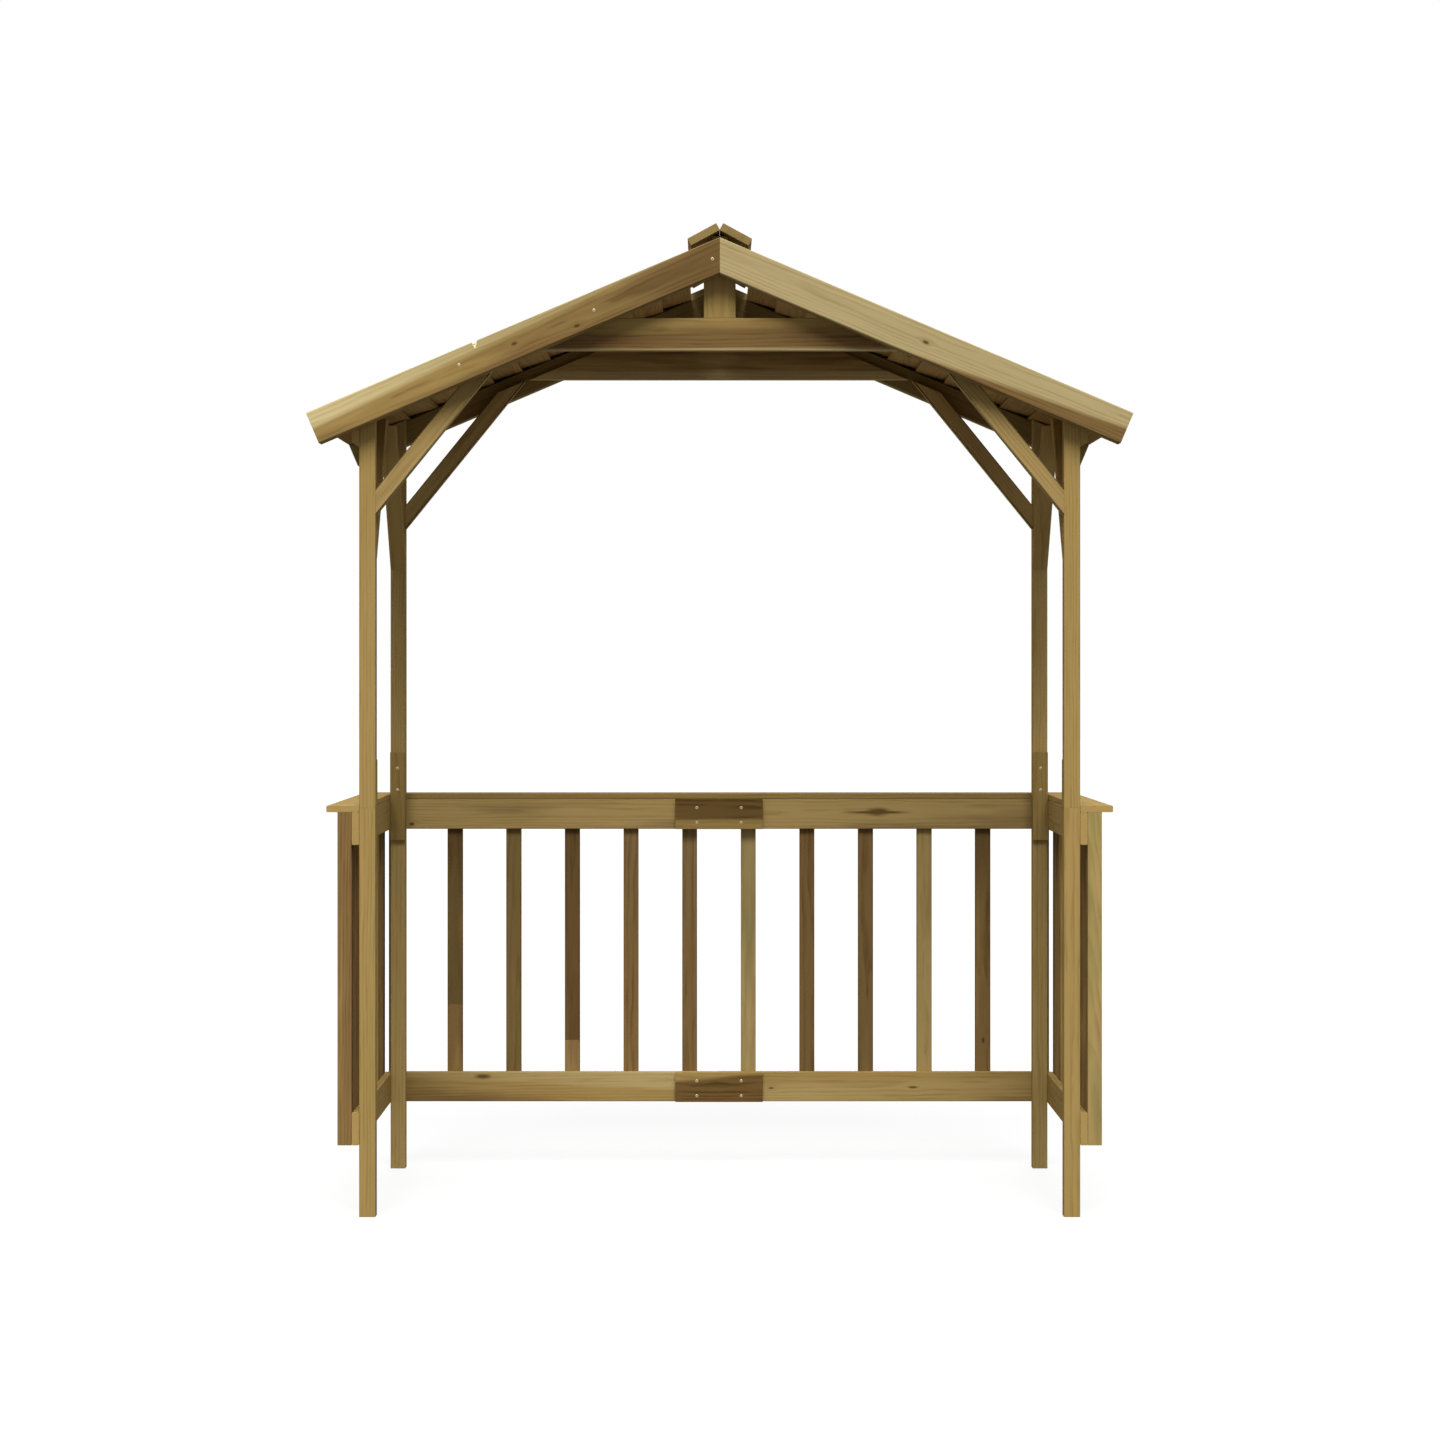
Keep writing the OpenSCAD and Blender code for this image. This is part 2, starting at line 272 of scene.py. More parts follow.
def new_object(name, verts, faces, material):
    """A mesh object that rides on the frame."""
    mesh = bpy.data.meshes.new(name)
    mesh.from_pydata(verts, [], faces)
    mesh.materials.append(material)
    mesh.shade_smooth()
    piece = bpy.data.objects.new(name, mesh)
    bpy.context.scene.collection.objects.link(piece)
    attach(piece, BODY)
    return piece


def store(mesh, name, domain, rows):
    """Keeps a vector for each point or face, for the material to read."""
    kept = mesh.attributes.new(name, "FLOAT_VECTOR", domain)
    kept.data.foreach_set("vector", [c for row in rows for c in row])


# Ranges that a board's look is drawn from where none is chosen for it
TONE_RANGE = (-0.5, 0.2)
HEART_RANGE = (-0.1, 0.4)
HEART_RISE_RANGE = (-0.15, 0.15)
SAP_RANGE_MM = (30, 60)
SAP_LEAN_RANGE_MM = (-12, 12)
PALE_RANGE = (0.1, 0.5)
SALT_RANGE = (0.2, 0.6)
KNOT_ALONG_RANGE = (-0.9, 0.9)
KNOT_ACROSS_RANGE = (-0.6, 0.6)
KNOT_RANGE_MM = (4.0, 8.0)
KNOT_DRAWN_OUT = 1.4
TURN_RANGE = (0.6, 2.5)
# Share of the boards that have no knot
CLEAR_SHARE = 0.4
# How far the pith lies from a board's middle, and how far it drifts at most in each metre of the board
PITH_RANGE_MM = (14, 44)
TRUNK_DRIFT = 0.016
# Length of trunk from which boards are cut, so that no two look alike
TRUNK_LENGTH = 60
# Each board has up to two knots, and one that isn't there is this many radii away
KNOT_NAMES = ("knot_a", "knot_b")
FAR_KNOT = 1000.0


def look_of(node, number, rng):
    """How one board was cut: its tone, heartwood, sapwood line, salts, knots and place in the trunk."""
    chosen = BOARD_LOOKS.get(node, {})
    look = {
        "tone": (rng.uniform(*TONE_RANGE), 0.0),
        "heart": (rng.uniform(*HEART_RANGE), rng.uniform(*HEART_RISE_RANGE), 0.0),
        "sap": (rng.choice((-1, 1)), rng.uniform(*SAP_RANGE_MM), rng.uniform(*SAP_LEAN_RANGE_MM)),
        "pale": (rng.uniform(*PALE_RANGE), 0.0),
        "salt": rng.uniform(*SALT_RANGE),
        "knots": [(
            rng.uniform(*KNOT_ALONG_RANGE), rng.uniform(*KNOT_ACROSS_RANGE),
            rng.uniform(*KNOT_RANGE_MM), KNOT_DRAWN_OUT)],
        "turn": rng.uniform(*TURN_RANGE),
        "lean": 1.0,
    }
    if rng.random() < CLEAR_SHARE:
        look["knots"] = []
    return {**look, **chosen.get("all", {}), **chosen.get(number, {})}


def wood_at(look, u, w, half):
    """Tone, heart share and distance into the sapwood at a place on a board, and its salts and paleness."""
    if "joint" in look and u > look["joint"]:
        look = {**look, **look["beyond"]}
    along, across = u / half[0], w / half[1]
    tone = look["tone"][0] + look["tone"][1] * along
    heart = look["heart"][0] + look["heart"][1] * along + look["heart"][2] * across
    side, sap_mm, sap_lean = look["sap"]
    sap = side * (w - (sap_mm + sap_lean * along) * MM)
    pale = look["pale"][0] + look["pale"][1] * along
    return (tone, heart, sap), (look["salt"], pale, 0.0)


def knot_places(look, half):
    """Each knot's place on the board and its radii across and along, then None for knots not there."""
    places = [(u * half[0], w * half[1], r * MM, r * MM * long) for u, w, r, long in look["knots"]]
    return [*places, None, None]


def from_knot(knot, u, w):
    """How far a place on the board lies from a knot, along and across in knot radii."""
    if knot is None:
        return FAR_KNOT, FAR_KNOT, 0.0
    return (u - knot[0]) / knot[3], (w - knot[1]) / knot[2], 0.0


def cut_of(face, axes, centre, broken):
    """Whether a face is a sawn end, an eased arris or the fresh break of a chip, as 0 or 1."""
    along, across, through = axes
    end = abs(face.normal.dot(along)) > END_SHARE
    square = max(abs(face.normal.dot(across)), abs(face.normal.dot(through)))
    eased = not end and square < SIDE_SHARE
    upper = face.calc_center_median().dot(across) > centre.dot(across)
    fresh = upper and abs(face.normal.dot(through)) < SIDE_SHARE
    fresh = fresh and all(broken[0] < v.co.dot(along) < broken[1] for v in face.verts)
    return float(end), float(eased), float(fresh)


def dress(node, material, saw_edge):
    """Makes the timber piece that stands for a CAD node, with the grain laid along each board."""
    verts, faces = [], []
    kept = {name: [] for name in ("grain", "board", "bath", *KNOT_NAMES, "cut")}
    for number, solid in enumerate(solids_of(node)):
        rng = random.Random(f"{node} {number}")
        look = look_of(node, number, rng)
        axes = board_axes(solid)
        centre = middle(solid)
        if "joint" in look:
            cut_round(solid, axes, centre, look["joint"])
        break_ends(solid, saw_edge)
        broken = (0, 0)
        if "chip" in look:
            broken = chip(solid, axes, *look["chip"])
        local = [[(v.co - centre).dot(axis) for axis in axes] for v in solid.verts]
        half = [max(abs(c) for c in row) for row in zip(*local)]
        pith_far = rng.uniform(*PITH_RANGE_MM) * MM
        pith = (pith_far * math.cos(look["turn"]), pith_far * math.sin(look["turn"]))
        drift = [rng.uniform(-1, 1) * TRUNK_DRIFT * look["lean"] for _ in pith]
        start = rng.uniform(0, TRUNK_LENGTH)
        knots = knot_places(look, half)
        base = len(verts)
        solid.verts.index_update()
        for v, (u, w, t) in zip(solid.verts, local):
            verts.append(v.co.copy())
            kept["grain"].append((u + start, w - pith[0] + drift[0] * u, t - pith[1] + drift[1] * u))
            wood, soak = wood_at(look, u, w, half)
            kept["board"].append(wood)
            kept["bath"].append(soak)
            for name, knot in zip(KNOT_NAMES, knots):
                kept[name].append(from_knot(knot, u, w))
        for f in solid.faces:
            faces.append([base + v.index for v in f.verts])
            kept["cut"].append(cut_of(f, axes, centre, broken))
        solid.free()
    piece = new_object(f"{node}_timber", verts, faces, material)
    for name, rows in kept.items():
        store(piece.data, name, "FACE" if name == "cut" else "POINT", rows)
    shading = piece.modifiers.new("even_shading", "WEIGHTED_NORMAL")
    shading.keep_sharp = False
    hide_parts(node)
    return piece


# How single boards look. Tone is the shade at the middle and its rise to the far end. Heart is the brown
# share there, with its rise along and across. Sap is the side of the pale edge, with the place and lean of
# its line in millimetres from the board's middle. Pale is how far that edge pales, with its rise along.
# Salt is the green share. Knots are places as shares, a radius in millimetres and how drawn out. Turn is
# the angle at which the pith lies, and lean is how steeply the rings cross the board. A joint is a place in
# metres from the middle, beyond which the board looks different. A chip is a place with its marks.
NO_SAP = (1, 400, 0)
ALL_SAP = (1, -400, 0)
EVEN = {
    "tone": (0.0, 0.0), "heart": (0.0, 0.0, 0.0), "sap": NO_SAP, "pale": (0.0, 0.0), "salt": 0.2,
    "knots": []}
BROWN = {**EVEN, "heart": (0.68, 0.05, 0.0)}
OLIVE = {**EVEN, "sap": ALL_SAP, "salt": 0.9, "turn": 1.5}
# A share of pale sapwood all over greys the wood; on the rear posts this greyness is painted shade, the
# cast of the roof's shade
SAP_GREYED = {**EVEN, "sap": ALL_SAP, "pale": (0.12, 0.0)}
PLATE = {**EVEN, "heart": (1.0, 0.0, 0.0), "pale": (1.0, 0.0), "turn": 1.4}
ROOF_BOARD = {"pale": (0.1, 0.0), "salt": 0.2}


def toned(look, tone, rise=0.0):
    """The same look in another shade."""
    return {**look, "tone": (tone, rise)}


BOARD_LOOKS = {
    **{f"{e}_{s}_{p}_post": {0: EVEN} for e in ENDS for s in SIDES for p in ("lower", "upper")},
    # Painted shade: the rafters, under the roof, are much darker than the rest of the frame
    **{f"{e}_{s}_rafter": {0: toned(EVEN, -1.3)} for e in ENDS for s in SIDES},
    **{f"{s}_{p}_rail": {0: toned(EVEN, 0.2)} for s in SIDES for p in ("top", "bottom")},
    **{f"{s}_shelf": {0: toned(EVEN, 0.3)} for s in SIDES},
    **{f"rear_{s}_shelf": {0: toned(EVEN, -0.7)} for s in SIDES},
    **{f"{s}_braces": {"all": toned(EVEN, -0.2)} for s in SIDES},
    **{f"{s}_beam": {0: EVEN} for s in SIDES},
    "front_left_barge": {0: {
        **toned(EVEN, -0.25, -0.6), "heart": (0.44, 0.2, -0.16), "sap": (1, 14, 20), "pale": (0.6, -0.45),
        "knots": [(0.0, -0.2, 4.5, 1.3), (0.28, -0.62, 4.5, 1.3)],
        "chip": ((-0.5915, -0.505, 2.12), ((-0.0055, 0), (-0.0045, 0.014), (-0.001, 0.014), (0.0075, 0))),
    }},
    "front_right_barge": {0: {
        **EVEN, "tone": (-0.15, 0.0), "heart": (1.2, 0.0, 0.0), "sap": (1, -42, 38), "pale": (0.68, 0.0),
        "knots": [(0.0, -0.12, 4.5, 1.2)],
    }},
    # Painted highlight: the pale strip along the lower edge, drawn as sapwood, stands for light on the
    # lower arris
    "front_tie": {0: {
        **EVEN, "tone": (-0.3, 0.0), "heart": (0.65, 0.0, -0.6), "sap": (-1, -35, 0), "pale": (0.8, 0.0)}},
    # Painted light and shade: the pale lower part, drawn as sapwood, stands for light along the lower edge,
    # and it greys the tie for the cast of deep shade
    "rear_tie": {0: {
        **EVEN, "tone": (0.15, 0.0), "heart": (0.42, 0.0, 0.2), "sap": (-1, -18, 0), "pale": (0.5, 0.0)}},
    # Painted shade: the king post darkens slightly towards its top, under the barge boards
    "front_king_post": {0: {**EVEN, "tone": (-0.2, -0.1), "heart": (0.1, 0.0, 0.15), "salt": 0.8}},
    "front_braces": {"all": toned(SAP_GREYED, -0.35)},
    "rear_braces": {0: toned(SAP_GREYED, 0.2), 1: toned(SAP_GREYED, 0.6)},
    "rear_left_balusters": {
        1: {**toned(BROWN, 0.2), "joint": -0.147, "beyond": {"tone": (-1.3, 0.0), "salt": 0.5}},
        2: {**toned(BROWN, -0.35, 0.45), "salt": 0.5},
        3: {**toned(BROWN, 0.7), "joint": -0.243, "sap": ALL_SAP, "pale": (0.04, -0.04),
            "beyond": {"tone": (-1.3, 0.0), "salt": 0.0, "pale": (0.0, 0.0)}},
        4: {**toned(BROWN, -0.1, -0.1), "salt": 0.2, "sap": ALL_SAP, "pale": (0.0, 0.1)},
        5: {**toned(BROWN, -0.3), "sap": ALL_SAP, "pale": (0.0, 0.15)},
    },
    "rear_right_balusters": {
        0: {**toned(OLIVE, -0.75, -0.25), "pale": (0.32, 0.0)},
        1: toned(BROWN, -0.75, 0.3),
        2: toned(BROWN, -0.75, 0.5),
        3: {**toned(OLIVE, -0.6, -0.1), "pale": (0.16, 0.0), "salt": 0.5},
        4: {**toned(BROWN, -0.85, -1.0), "knots": [(-0.6, 0.0, 4.0, 1.3)]}},
    "left_balusters": {0: toned(BROWN, 0.4), 1: toned(BROWN, -0.4), 5: toned(BROWN, -0.7)},
    "right_balusters": {
        0: {**toned(SAP_GREYED, 0.45), "heart": (0.38, 0.0, 0.0), "salt": 1.2, "lean": 8.0},
        1: toned(BROWN, -0.4), 5: toned(BROWN, -0.4)},
    "rear_left_bottom_rail": {0: {
        **toned(EVEN, -0.25, 0.2), "heart": (0.15, -0.25, -0.25), "sap": (1, 6, -18), "pale": (0.3, 0.2),
        "knots": [(-0.427, 0.68, 6.5, 2.4)]}},
    "rear_right_top_rail": {0: {
        **toned(SAP_GREYED, 0.0), "heart": (0.28, 0.25, -0.2),
        "knots": [(-0.037, 0.14, 11.0, 2.2), (-0.05, 0.12, 4.0, 16.0)]}},
    "rear_left_top_rail": {0: {
        **toned(SAP_GREYED, 0.3), "heart": (0.3, 0.0, -0.1), "knots": [(-0.858, -0.65, 4.5, 1.2)]}},
    "rear_right_bottom_rail": {0: {
        **toned(EVEN, -0.3), "heart": (0.15, 0.1, -0.2), "sap": (-1, 12, 12), "pale": (0.15, -0.1),
        "knots": [(0.173, -0.05, 3.2, 3.0), (-0.685, -0.1, 2.8, 2.0)]}},
    "rear_rail_splices": {
        0: {**toned(PLATE, -0.3), "sap": (1, 24, 8)},
        1: {**toned(PLATE, -0.5), "sap": (-1, -14, -2)},
    },
    # Painted shade: the plates on the rear posts darken towards the bottom, under the rail
    "rear_post_splices": {0: toned(EVEN, -1.4, 0.3), 1: toned(EVEN, -0.9, 0.2)},
    "front_post_splices": {"all": toned(EVEN, -0.8)},
    # Painted shade: the rear posts are greyed for the cast of the roof's shade, and the lower lengths
    # darken towards their tops
    "rear_left_lower_post": {0: toned(SAP_GREYED, 0.05, -0.6)},
    "rear_left_upper_post": {0: toned(SAP_GREYED, -0.4)},
    "rear_right_lower_post": {0: toned(SAP_GREYED, -0.35, -0.25)},
    "rear_right_upper_post": {0: toned(SAP_GREYED, 0.3)},
    # Painted shade: the two outermost roof boards on each side are darker
    "left_roof_boards": {"all": ROOF_BOARD, 0: toned(ROOF_BOARD, -1.2), 1: toned(ROOF_BOARD, -0.7)},
    "right_roof_boards": {"all": ROOF_BOARD, 11: toned(ROOF_BOARD, -1.0), 10: toned(ROOF_BOARD, -0.6)},
    "left_ridge_cap": {0: toned(SAP_GREYED, -1.1)},
    "right_ridge_cap": {0: {**toned(SAP_GREYED, -1.15), "heart": (0.28, 0.0, 0.0)}},
    # Painted shade: the rear rafters are darker still, and darken towards the ridge
    "rear_left_rafter": {0: toned(EVEN, -1.5, -0.5)},
    "rear_right_rafter": {0: toned(EVEN, -1.5, 0.5)},
}

# Finishes

# Sockets of the mix node for colours
MIX_FACTOR = 0
MIX_A = 6
MIX_B = 7
MIX_OUT = 2
# Width of one ring of the wave texture at scale 1
WAVE_WIDTH = 2 * math.pi / 20

# Length along the board, width across it and sideways swing of the rings' slow wander and quick waver
WANDER = (0.4, 0.05, 14 * MM)
WAVER = (0.12, 0.014, 7 * MM)
FIBRE_LENGTH = 0.15
# Shares of a year at which wood starts to darken and stops short
LATE_START = 0.3
LATE_STOP = 0.9
# Levels of the waver below which a ring is faded and above which it is whole
FADED_BELOW = 0.35
WHOLE_ABOVE = 0.65
# What is left of a ring where it is faded, and on a sawn end
FADED_RING_SHARE = 0.2
SAWN_RING_SHARE = 0.4
# A knot pushes the grain aside this far, up to so many radii away, and looks drawn out along it
KNOT_PUSH = 6 * MM
KNOT_REACH = 5.0
KNOT_OVAL = (0.7, 1, 0)
# Pale sapwood starts over this width, at a line that wanders by as much
SAP_EDGE = 14 * MM
# How patchy heart is, and where it starts and is full
HEART_PATCH = 1.1
HEART_START = 0.75
HEART_FULL = 1.25
# Where salts start and are full in their patches, and how much they then cover
SALT_START = 0.4
SALT_FULL = 0.75
SALT_COVER = 0.8
# How ragged a knot's edge is, where it is full and ends, in radii, and how much it covers
KNOT_RAG = 0.9
KNOT_FULL = 1.0
KNOT_EDGE = 1.7
KNOT_COVER = 0.78
# Shade that the shares of light are added to
BASE_LIGHT = 0.86
# Planed fibres scatter the light, so next to none of it is mirrored
WOOD_IOR = 1.5
WOOD_MIRROR = 0.01
WOOD_RELIEF = 0.4 * MM
# Size and depth of the marks that a driver leaves on a screw head, drawn coarse so that they show
DRIVER_MARK = 1.5 * MM
DRIVER_DEPTH = 0.1 * MM


def put(tree, kind, sockets=None, **settings):
    """Adds one node with its settings, and fills its sockets with values or links."""
    node = tree.nodes.new(kind)
    for key, value in settings.items():
        setattr(node, key, value)
    for key, value in (sockets or {}).items():
        if isinstance(value, bpy.types.NodeSocket):
            tree.links.new(value, node.inputs[key])
        else:
            node.inputs[key].default_value = value
    return node


def new_material(name):
    """An empty node material, and its tree."""
    material = bpy.data.materials.new(name)
    material.use_nodes = True
    material.node_tree.nodes.clear()
    return material, material.node_tree


def figure(tree, timber, grain, end_cut):
    """Late wood, fibres, the rings' wander and the distance to a knot, from places in the trunk."""
    # Grain bends round a knot, whose place is kept in knot radii
    flow, nearest = grain, FAR_KNOT
    for name in KNOT_NAMES:
        place = put(tree, "ShaderNodeAttribute", attribute_name=name).outputs["Vector"]
        oval = put(tree, "ShaderNodeVectorMath", {0: place, 1: KNOT_OVAL}, operation="MULTIPLY").outputs[0]
        far = put(tree, "ShaderNodeVectorMath", {0: oval}, operation="LENGTH").outputs["Value"]
        pull = put(tree, "ShaderNodeMapRange", {
            "Value": far, "From Min": 0.0, "From Max": KNOT_REACH, "To Min": KNOT_PUSH, "To Max": 0.0,
        }, interpolation_type="SMOOTHSTEP").outputs[0]
        push = put(tree, "ShaderNodeVectorMath", {0: place, "Scale": pull}, operation="SCALE").outputs[0]
        push = put(tree, "ShaderNodeVectorMath", {0: push, 1: (0, 1, 0)}, operation="MULTIPLY").outputs[0]
        flow = put(tree, "ShaderNodeVectorMath", {0: flow, 1: push}, operation="SUBTRACT").outputs[0]
        nearest = put(tree, "ShaderNodeMath", {0: nearest, 1: far}, operation="MINIMUM").outputs[0]

    # Rings wander slowly along the trunk, and each one wavers more quickly
    noises = []
    for along, across, swing in (WANDER, WAVER):
        spread = put(tree, "ShaderNodeVectorMath", {0: grain, 1: (1 / along, 1 / across, 1 / across)},
                     operation="MULTIPLY").outputs[0]
        noise = put(tree, "ShaderNodeTexNoise", {"Vector": spread, "Scale": 1.0, "Detail": 2.0}).outputs
        bend = put(tree, "ShaderNodeVectorMath", {0: noise["Color"], 1: (0.5, 0.5, 0.5)},
                   operation="SUBTRACT").outputs[0]
        bend = put(tree, "ShaderNodeVectorMath", {0: bend, 1: (0, swing, swing)},
                   operation="MULTIPLY").outputs[0]
        flow = put(tree, "ShaderNodeVectorMath", {0: flow, 1: bend}, operation="ADD").outputs[0]
        noises.append(noise)
    wander, waver = noises

    # One saw tooth a year: early wood darkens slowly to late wood, then stops short. Rings fade in places
    year = put(tree, "ShaderNodeTexWave", {"Vector": flow, "Scale": WAVE_WIDTH / timber.ring_width},
               wave_type="RINGS", rings_direction="X", wave_profile="SAW").outputs["Fac"]
    late = put(tree, "ShaderNodeMapRange", {
        "Value": year, "From Min": LATE_START, "From Max": LATE_STOP,
    }, interpolation_type="SMOOTHSTEP").outputs[0]
    stop = put(tree, "ShaderNodeMapRange", {
        "Value": year, "From Min": LATE_STOP, "From Max": 1.0, "To Min": 1.0, "To Max": 0.0,
    }).outputs[0]
    fade = put(tree, "ShaderNodeMapRange", {
        "Value": waver["Fac"], "From Min": FADED_BELOW, "From Max": WHOLE_ABOVE, "To Min": FADED_RING_SHARE,
    }).outputs[0]
    blur = put(tree, "ShaderNodeMapRange", {
        "Value": end_cut, "To Min": 1.0, "To Max": SAWN_RING_SHARE}).outputs[0]
    for share in (stop, fade, blur):
        late = put(tree, "ShaderNodeMath", {0: late, 1: share}, operation="MULTIPLY").outputs[0]

    # Fibres follow the rings, and both are drawn coarser than in real pine so that they show
    thin = (1 / FIBRE_LENGTH, 1 / timber.fibre_width, 1 / timber.fibre_width)
    thin = put(tree, "ShaderNodeVectorMath", {0: flow, 1: thin}, operation="MULTIPLY").outputs[0]
    fibre = put(tree, "ShaderNodeTexNoise", {"Vector": thin, "Scale": 1.0, "Detail": 3.0}).outputs["Fac"]
    return late, fibre, wander, nearest


def covers(tree, kept, wander, fibre, nearest):
    """Shares of brown heart, pale sapwood, green salts and knot, from what a board keeps of each."""
    heart, sap, paleness, salt = kept
    patchy = put(tree, "ShaderNodeMath", {0: wander["Fac"], 1: HEART_PATCH, 2: heart},
                 operation="MULTIPLY_ADD").outputs[0]
    in_heart = put(tree, "ShaderNodeMapRange", {
        "Value": patchy, "From Min": HEART_START, "From Max": HEART_FULL,
    }, interpolation_type="SMOOTHSTEP").outputs[0]
    patchy = put(tree, "ShaderNodeMath", {0: wander["Fac"], 1: SAP_EDGE, 2: sap},
                 operation="MULTIPLY_ADD").outputs[0]
    in_sap = put(tree, "ShaderNodeMapRange", {"Value": patchy, "From Min": 0.0, "From Max": SAP_EDGE},
                 interpolation_type="SMOOTHSTEP").outputs[0]
    in_sap = put(tree, "ShaderNodeMath", {0: in_sap, 1: paleness}, operation="MULTIPLY").outputs[0]
    salts = put(tree, "ShaderNodeMapRange", {
        "Value": wander["Color"], "From Min": SALT_START, "From Max": SALT_FULL, "To Max": SALT_COVER,
    }).outputs[0]
    salts = put(tree, "ShaderNodeMath", {0: salts, 1: salt}, operation="MULTIPLY").outputs[0]
    ragged = put(tree, "ShaderNodeMath", {0: fibre, 1: KNOT_RAG, 2: nearest},
                 operation="MULTIPLY_ADD").outputs[0]
    in_knot = put(tree, "ShaderNodeMapRange", {
        "Value": ragged, "From Min": KNOT_FULL, "From Max": KNOT_EDGE, "To Min": KNOT_COVER, "To Max": 0.0,
    }).outputs[0]
    return in_heart, in_sap, salts, in_knot


def pine(name, wood, heart_wood, pale_wood, colours, timber, rough):
    """Softwood cut from a trunk: growth rings, fibres, heart, sapwood, knots and worn arrises."""
    material, tree = new_material(name)
    kept = {}
    for part in ("grain", "board", "bath", "cut"):
        kept[part] = put(tree, "ShaderNodeAttribute", attribute_name=part).outputs["Vector"]
    tone, heart, sap = put(tree, "ShaderNodeSeparateXYZ", {0: kept["board"]}).outputs
    salt, paleness, _ = put(tree, "ShaderNodeSeparateXYZ", {0: kept["bath"]}).outputs
    end_cut, arris, fresh = put(tree, "ShaderNodeSeparateXYZ", {0: kept["cut"]}).outputs
    late, fibre, wander, nearest = figure(tree, timber, kept["grain"], end_cut)
    in_heart, in_sap, salts, in_knot = covers(tree, (heart, sap, paleness, salt), wander, fibre, nearest)

    # Early and late wood of each kind, laid over each other
    kinds = []
    for early, ring in (wood, heart_wood, pale_wood):
        kind = put(tree, "ShaderNodeMix", {MIX_FACTOR: late, MIX_A: early, MIX_B: ring}, data_type="RGBA")
        kinds.append(kind.outputs[MIX_OUT])
    paint, brown, pale = kinds
    for share, layer in (
        (in_heart, brown), (in_sap, pale), (salts, colours.salt), (in_knot, colours.knot),
        (fresh, colours.fresh),
    ):
        paint = put(tree, "ShaderNodeMix", {MIX_FACTOR: share, MIX_A: paint, MIX_B: layer},
                    data_type="RGBA").outputs[MIX_OUT]

    # Shade, sheen and relief are sums of shares
    worn = put(tree, "ShaderNodeMath", {0: arris, 1: fibre}, operation="MULTIPLY").outputs[0]
    sums = []
    for total, parts in (
        (BASE_LIGHT, ((tone, 0.24), (fibre, 0.16), (wander["Fac"], 0.12), (end_cut, 0.03), (worn, 0.1))),
        (rough, ((fibre, 0.14), (late, -0.06), (end_cut, 0.12))),
        (fibre, ((late, 0.5), (in_knot, 0.6))),
    ):
        for value, share in parts:
            total = put(tree, "ShaderNodeMath", {0: value, 1: share, 2: total},
                        operation="MULTIPLY_ADD").outputs[0]
        sums.append(total)
    light, gloss, relief = sums
    paint = put(tree, "ShaderNodeVectorMath", {0: paint, "Scale": light}, operation="SCALE").outputs[0]
    bump = put(tree, "ShaderNodeBump", {"Height": relief, "Strength": 0.5, "Distance": WOOD_RELIEF})
    shader = put(tree, "ShaderNodeBsdfPrincipled", {
        "Base Color": paint, "Roughness": gloss, "Normal": bump.outputs[0], "IOR": WOOD_IOR,
        "Specular IOR Level": WOOD_MIRROR})
    put(tree, "ShaderNodeOutputMaterial", {"Surface": shader.outputs[0]})
    return material


def finish(context, name):
    """One of the finishes below, made when it is first asked for."""
    if name not in bpy.data.materials:
        return FINISHES[name](name, context.scene.gazebo_colours, context.scene.gazebo_timber)
    return bpy.data.materials[name]


def impregnated_pine(name, colours, timber):
    """Planed pine soaked under pressure in copper salts."""
    # Planed softwood: golden olive, silky along the fibres, with soft rings and a faint green cast
    wood = (colours.pine, colours.pine_ring)
    heart = (colours.heart, colours.heart_ring)
    return pine(name, wood, heart, (colours.sap, colours.sap_ring), colours, timber, rough=0.68)


def thin_pine_boards(name, colours, timber):
    """Thin planed pine boards from the same bath."""
    # Thin boards take up more of the bath, so they look a little browner and rougher than the frame
    wood = (colours.roof, colours.roof_ring)
    heart = (colours.heart, colours.heart_ring)
    return pine(name, wood, heart, (colours.sap, colours.sap_ring), colours, timber, rough=0.74)


def heart_pine_plates(name, colours, timber):
    """Short offcuts of brown heart pine."""
    # Offcuts with much heart: dark brown, with wavy rings and a pale edge where the sapwood starts
    wood = (colours.pine, colours.pine_ring)
    return pine(name, wood, (colours.plate, colours.plate_ring), wood, colours, timber, rough=0.7)


def zinc_plated_steel(name, colours, timber):
    """Cold-headed steel screws with zinc plate."""
    # Plated steel: satin and pale, with a warm film and fine marks from the driver
    material, tree = new_material(name)
    place = put(tree, "ShaderNodeTexCoord").outputs["Object"]
    cloud = put(tree, "ShaderNodeTexNoise", {
        "Vector": place, "Scale": 1 / DRIVER_MARK, "Detail": 3.0}).outputs["Fac"]
    paint = put(tree, "ShaderNodeMix", {MIX_FACTOR: cloud, MIX_A: colours.zinc, MIX_B: colours.zinc_dull},
                data_type="RGBA").outputs[MIX_OUT]
    rough = put(tree, "ShaderNodeMapRange", {"Value": cloud, "To Min": 0.3, "To Max": 0.5}).outputs[0]
    bump = put(tree, "ShaderNodeBump", {"Height": cloud, "Strength": 0.2, "Distance": DRIVER_DEPTH})
    shader = put(tree, "ShaderNodeBsdfPrincipled", {
        "Base Color": paint, "Roughness": rough, "Normal": bump.outputs[0], "Metallic": 0.6})
    put(tree, "ShaderNodeOutputMaterial", {"Surface": shader.outputs[0]})
    return material


FINISHES = {f.__name__: f for f in (
    impregnated_pine, thin_pine_boards, heart_pine_plates, zinc_plated_steel)}


# Screws

# Points round a screw head, and the lobes of its star recess with their depth as a share of its radius
HEAD_POINTS = 36
LOBES = 6
LOBE_SHARE = 0.16
